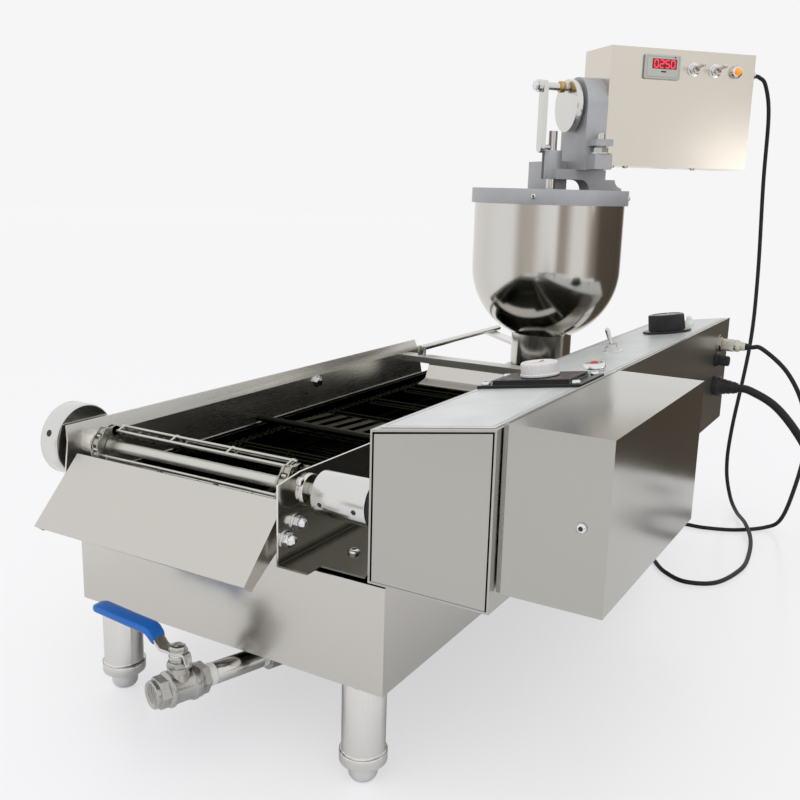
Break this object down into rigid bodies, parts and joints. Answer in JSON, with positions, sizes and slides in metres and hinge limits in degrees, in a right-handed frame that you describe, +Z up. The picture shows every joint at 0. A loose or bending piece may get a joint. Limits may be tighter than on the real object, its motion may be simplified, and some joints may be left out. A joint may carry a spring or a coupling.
{
  "type": "donut fryer",
  "caption": "Automatic donut fryer: oil tank on bullet feet with a chain conveyor and flipper, dough hopper with a crank-driven depositor, long control box, motor cover, chute and drain valve.",
  "frame": {"origin": "middle of the object's box on the floor, without the cords", "axes": "+X towards the control box and motor cover, +Y from the outlet chute to the hopper, +Z up"},
  "size_m": [0.8661, 1.2185, 0.7692],
  "materials": {
    "body_steel": "satin",
    "tank_steel": "oiled",
    "panel_steel": "satin",
    "polished_steel": "polished",
    "cast_aluminium": "cast",
    "turned_aluminium": "turned",
    "chain_steel": "oiled",
    "bright_steel": "bright",
    "motor_paint": "satin",
    "black_plastic": "matte",
    "white_plastic": "gloss",
    "red_lens": "gloss",
    "amber_lens": "gloss",
    "valve_steel": "cast",
    "blue_sleeve": "gloss",
    "black_cord": "matte"
  },
  "bodies": {
    "frame": {"case": "body_steel", "tank": "tank_steel", "leg_front_left": "body_steel", "leg_front_right": "body_steel", "leg_rear_left": "body_steel", "leg_rear_right": "body_steel", "left_guard": "body_steel", "right_guard": "body_steel", "drive_bracket": "body_steel", "cross_rail": "body_steel", "landing_plate": "bright_steel", "chute": "bright_steel", "chain_left": "chain_steel", "chain_right": "chain_steel", "flights": "bright_steel", "heater": "tank_steel", "control_box": "panel_steel", "control_end": "panel_steel", "motor_cover": "panel_steel", "gearmotor": "motor_paint", "dial_plate": "black_plastic", "red_lamp": "red_lens", "pilot_lamp": "white_plastic", "connector": "bright_steel", "fuse_holder": "black_plastic", "cord_gland": "black_plastic", "hopper": "polished_steel", "lid_casting": "cast_aluminium", "hopper_support": "body_steel", "hopper_stay": "bright_steel", "head_box": "panel_steel", "display": "black_plastic", "head_lamp": "amber_lens", "drain_pipe": "valve_steel", "valve_body": "valve_steel", "link_cable": "black_cord", "power_cord": "black_cord", "power_coil": "black_cord", "power_plug": "black_cord"},
    "drive": {"drive_shaft": "bright_steel", "coupling": "turned_aluminium", "hand_knob": "turned_aluminium"},
    "idler": {"idler_shaft": "bright_steel"},
    "turner_paddle": {"turner_paddle": "bright_steel"},
    "valve_lever": {"valve_lever": "blue_sleeve"},
    "thermostat_dial": {"thermostat_dial": "white_plastic"},
    "speed_knob": {"speed_knob": "black_plastic"},
    "panel_toggle": {"panel_toggle": "bright_steel"},
    "head_toggle_left": {"head_toggle_left": "bright_steel"},
    "head_toggle_right": {"head_toggle_right": "bright_steel"},
    "crank": {"crank_disc": "turned_aluminium"},
    "crank_link": {"crank_link": "bright_steel"},
    "plunger": {"plunger": "polished_steel"},
    "foot_front_left": {"foot_front_left": "bright_steel"},
    "foot_front_right": {"foot_front_right": "bright_steel"},
    "foot_rear_left": {"foot_rear_left": "bright_steel"},
    "foot_rear_right": {"foot_rear_right": "bright_steel"}
  },
  "joints": [
    {"name": "drive_turn", "type": "hinge", "parent": "frame", "child": "drive", "pos_m": [0.1115, -0.47044, 0.276], "axis": [1, 0, 0], "continuous": true},
    {"name": "idler_turn", "type": "hinge", "parent": "frame", "child": "idler", "pos_m": [0.1115, 0.33691, 0.21269], "axis": [1, 0, 0], "continuous": true},
    {"name": "paddle_swing", "type": "hinge", "parent": "frame", "child": "turner_paddle", "pos_m": [0.1115, -0.19044, 0.246], "axis": [1, 0, 0], "range_deg": [0, 110]},
    {"name": "valve_turn", "type": "hinge", "parent": "frame", "child": "valve_lever", "pos_m": [-0.07444, -0.55027, 0.088], "axis": [0, 0, 1], "range_deg": [-18, 72]},
    {"name": "thermostat_turn", "type": "hinge", "parent": "frame", "child": "thermostat_dial", "pos_m": [0.1525, -0.26044, 0.3575], "axis": [-0.145, 0, 0.9894], "range_deg": [0, 270]},
    {"name": "speed_turn", "type": "hinge", "parent": "frame", "child": "speed_knob", "pos_m": [0.16178, 0.18056, 0.35886], "axis": [-0.145, 0, 0.9894], "range_deg": [0, 270]},
    {"name": "panel_toggle_flip", "type": "hinge", "parent": "frame", "child": "panel_toggle", "pos_m": [0.14931, -0.02444, 0.3631], "axis": [0, 1, 0], "range_deg": [0, 24]},
    {"name": "head_toggle_left_flip", "type": "hinge", "parent": "frame", "child": "head_toggle_left", "pos_m": [0.10443, 0.43696, 0.741], "axis": [-0.6858, -0.7278, 0], "range_deg": [-24, 0]},
    {"name": "head_toggle_right_flip", "type": "hinge", "parent": "frame", "child": "head_toggle_right", "pos_m": [0.13115, 0.46532, 0.741], "axis": [-0.6858, -0.7278, 0], "range_deg": [-24, 0]},
    {"name": "crank_turn", "type": "hinge", "parent": "frame", "child": "crank", "pos_m": [-0.0785, 0.31356, 0.68], "axis": [0.6858, 0.7278, 0], "continuous": true},
    {"name": "link_swing", "type": "hinge", "parent": "crank", "child": "crank_link", "pos_m": [-0.09222, 0.299, 0.708], "axis": [0.6858, 0.7278, 0], "continuous": true},
    {"name": "plunger_slide", "type": "slide", "parent": "frame", "child": "plunger", "axis": [0, 0, 1], "range_m": [-0.056, 0]},
    {"name": "foot_front_left_screw", "type": "slide", "parent": "frame", "child": "foot_front_left", "axis": [0, 0, -1], "range_m": [0, 0.02]},
    {"name": "foot_front_right_screw", "type": "slide", "parent": "frame", "child": "foot_front_right", "axis": [0, 0, -1], "range_m": [0, 0.02]},
    {"name": "foot_rear_left_screw", "type": "slide", "parent": "frame", "child": "foot_rear_left", "axis": [0, 0, -1], "range_m": [0, 0.02]},
    {"name": "foot_rear_right_screw", "type": "slide", "parent": "frame", "child": "foot_rear_right", "axis": [0, 0, -1], "range_m": [0, 0.02]}
  ],
  "couplings": [
    {"joint": "idler_turn", "follows": "drive_turn", "ratio": 1},
    {"joint": "link_swing", "follows": "crank_turn", "ratio": -1}
  ]
}
